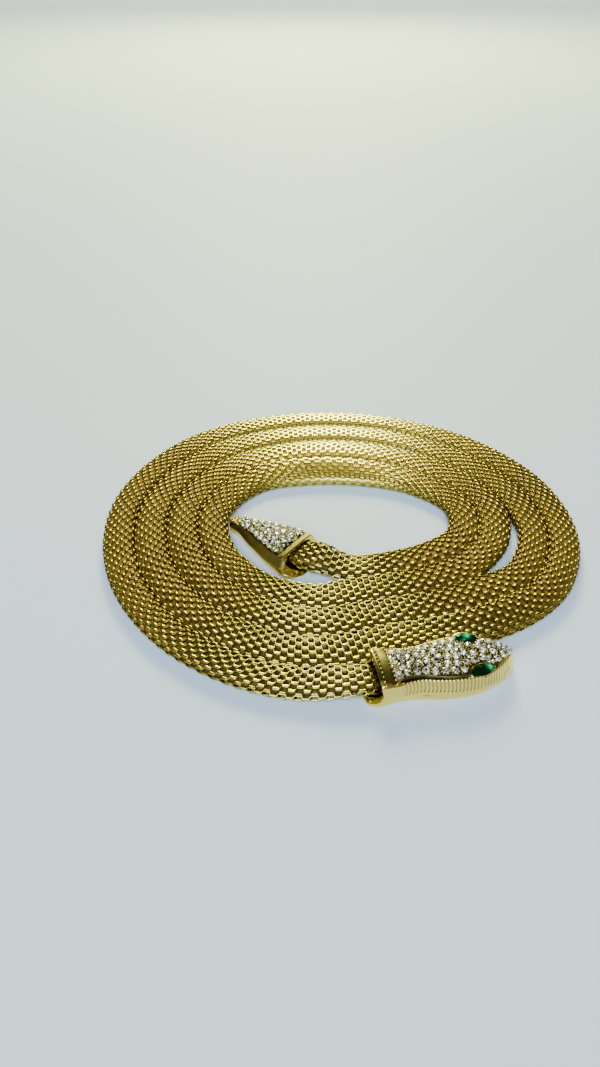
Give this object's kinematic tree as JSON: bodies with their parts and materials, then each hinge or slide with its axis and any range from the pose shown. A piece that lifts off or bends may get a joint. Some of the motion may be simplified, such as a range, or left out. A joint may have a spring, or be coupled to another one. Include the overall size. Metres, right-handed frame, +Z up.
{
  "type": "snake necklace",
  "caption": "Long flattened woven metal band coiled flat, with a stone-set snake's head on its outer end and a stone-set tapering tail on its inner end.",
  "frame": {"origin": "on the floor, under the middle of the coiled necklace's outline", "axes": "+X along the coil's longer way, towards the side the head points to; +Y away from the head's side of the coil; +Z up from the floor"},
  "size_m": [0.1248, 0.1146, 0.0073],
  "materials": {
    "woven_gold": "polished woven wire",
    "cast_gold": "polished casting",
    "clear_stones": "faceted",
    "green_stones": "faceted"
  },
  "bodies": {
    "root": {"mesh_band": "woven_gold", "head_shell": "cast_gold", "head_pave": "clear_stones", "eye_far": "green_stones", "eye_near": "green_stones", "tail_shell": "cast_gold", "tail_pave": "clear_stones"}
  },
  "joints": []
}
